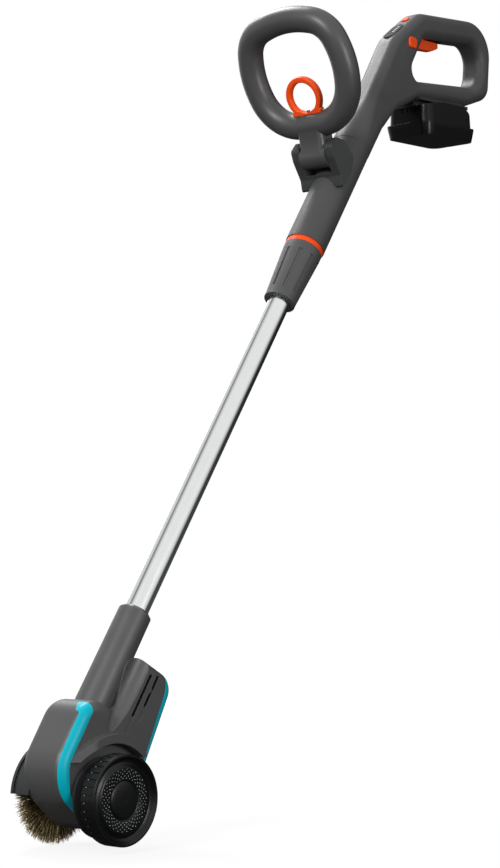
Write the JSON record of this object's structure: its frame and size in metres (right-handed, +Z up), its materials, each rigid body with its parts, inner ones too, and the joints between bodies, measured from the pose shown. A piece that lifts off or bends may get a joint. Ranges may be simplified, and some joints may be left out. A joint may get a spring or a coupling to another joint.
{
  "type": "electric patio cleaner",
  "caption": "Battery powered patio cleaner: motor head with a spinning brush disc and a guide wheel, sliding aluminium tube, hand loop and closed grip with trigger.",
  "frame": {"origin": "point on the ground right below the centre of the axle line, in the shaft's middle plane; the brush reaches a little below it", "axes": "+X along the axle towards the guide wheel, +Y back towards the user, +Z up"},
  "size_m": [0.1896, 0.8805, 1.118],
  "materials": {
    "body_plastic": "moulded dark grey nylon, fine grain",
    "dark_plastic": "moulded dark plastic",
    "black_plastic": "moulded black plastic",
    "battery_black": "battery case",
    "wheel_black": "moulded wheel",
    "cyan_trim": "moulded cyan trim",
    "orange_accent": "moulded orange plastic",
    "black_gloss": "smooth dark window",
    "clear_lens": "clear light lenses",
    "circuit_board": "glass fibre board",
    "tube_aluminium": "drawn aluminium, clear anodised",
    "aluminium_plate": "stamped plate",
    "steel": "turned steel",
    "spring_steel": "drawn spring wire",
    "brass_contact": "contact blades",
    "gear_plastic": "moulded acetal gear",
    "brass_wire": "crimped wire, stands in as one ring",
    "copper_core": "wound armature",
    "cell_sleeve": "cells in plastic sleeve"
  },
  "bodies": {
    "handle": {"grip_sleeve": "black_plastic", "accent_ring": "orange_accent", "charge_panel": "black_gloss", "charge_lenses": "clear_lens", "control_board": "circuit_board", "trigger_pin": "steel", "trigger_spring": "spring_steel", "trigger_switch": "black_plastic", "lock_spring": "spring_steel", "guide_pipe": "black_plastic", "handle_screws": "steel", "handle_far": "body_plastic", "handle_near": "body_plastic", "battery_shoe": "black_plastic", "shoe_blades": "brass_contact", "loop_yoke": "dark_plastic", "hinge_bolt": "steel", "detent_disc": "steel"},
    "collar": {"twist_collar": "body_plastic"},
    "shaft": {"tube": "tube_aluminium", "tube_glide": "black_plastic", "head_case_far": "body_plastic", "head_case_near": "body_plastic", "front_hood": "body_plastic", "front_trim": "cyan_trim", "rear_trim": "cyan_trim", "head_screws": "steel", "brush_guard": "black_plastic", "axle_bearings": "steel", "motor_can": "steel", "motor_mount": "aluminium_plate", "wheel_backing": "black_plastic", "wheel_stub": "steel", "wheel_keeper": "steel"},
    "brush": {"brush_axle": "steel", "crown_wheel": "gear_plastic", "crown_spacer": "steel", "brush_disc": "black_plastic", "bristle_ring": "brass_wire", "brush_nut": "steel", "brush_washer": "steel"},
    "rotor": {"motor_shaft": "steel", "motor_rotor": "copper_core", "drive_pinion": "steel"},
    "wheel": {"wheel": "wheel_black", "hub_cap": "wheel_black"},
    "loop": {"hand_loop": "body_plastic", "hinge_bush": "black_plastic"},
    "ring": {"pull_ring": "orange_accent", "lock_pin": "steel", "ring_spring": "spring_steel"},
    "trigger": {"trigger": "orange_accent"},
    "lock": {"lock_button": "orange_accent"},
    "power": {"power_button": "orange_accent"},
    "battery": {"battery_top": "battery_black", "battery_bottom": "battery_black", "battery_contacts": "black_plastic", "battery_cells": "cell_sleeve", "battery_board": "circuit_board"},
    "latch": {"battery_latch": "battery_black"}
  },
  "joints": [
    {"name": "tube_slide", "type": "slide", "parent": "handle", "child": "shaft", "axis": [0, 0.554, 0.8325], "range_m": [0, 0.19]},
    {"name": "collar_turn", "type": "hinge", "parent": "handle", "child": "collar", "pos_m": [0, 0.3807, 0.69771], "axis": [0, 0.554, 0.8325], "range_deg": [0, 90]},
    {"name": "brush_spin", "type": "hinge", "parent": "shaft", "child": "brush", "pos_m": [0, 0, 0.0525], "axis": [1, 0, 0], "continuous": true},
    {"name": "motor_spin", "type": "hinge", "parent": "shaft", "child": "rotor", "pos_m": [0, 0, 0.0525], "axis": [0, 0.554, 0.8325], "continuous": true},
    {"name": "wheel_spin", "type": "hinge", "parent": "shaft", "child": "wheel", "pos_m": [0.066, 0, 0.0525], "axis": [1, 0, 0], "continuous": true},
    {"name": "loop_tilt", "type": "hinge", "parent": "handle", "child": "loop", "pos_m": [0, 0.43741, 0.86417], "axis": [1, 0, 0], "range_deg": [-40, 30]},
    {"name": "ring_pull", "type": "slide", "parent": "loop", "child": "ring", "axis": [0, -0.3421, 0.9397], "range_m": [0, 0.006], "stiffness_N_per_m": 800, "springref_m": -0.003},
    {"name": "trigger_pull", "type": "hinge", "parent": "handle", "child": "trigger", "pos_m": [0, 0.64603, 1.071], "axis": [1, 0, 0], "range_deg": [0, 7], "stiffness_Nm_per_rad": 1.5, "springref_deg": -11.46},
    {"name": "lock_press", "type": "slide", "parent": "handle", "child": "lock", "axis": [-1, 0, 0], "range_m": [0, 0.0025], "stiffness_N_per_m": 600},
    {"name": "power_press", "type": "slide", "parent": "handle", "child": "power", "axis": [0, 0.6041, -0.7969], "range_m": [0, 0.001], "stiffness_N_per_m": 800},
    {"name": "battery_off", "type": "slide", "parent": "handle", "child": "battery", "axis": [0, 0.9996, 0.027], "range_m": [0, 0.13]},
    {"name": "latch_press", "type": "slide", "parent": "battery", "child": "latch", "axis": [0, -0.9996, -0.027], "range_m": [0, 0.003], "stiffness_N_per_m": 500}
  ],
  "couplings": [
    {"joint": "motor_spin", "follows": "brush_spin", "ratio": 3.6}
  ]
}
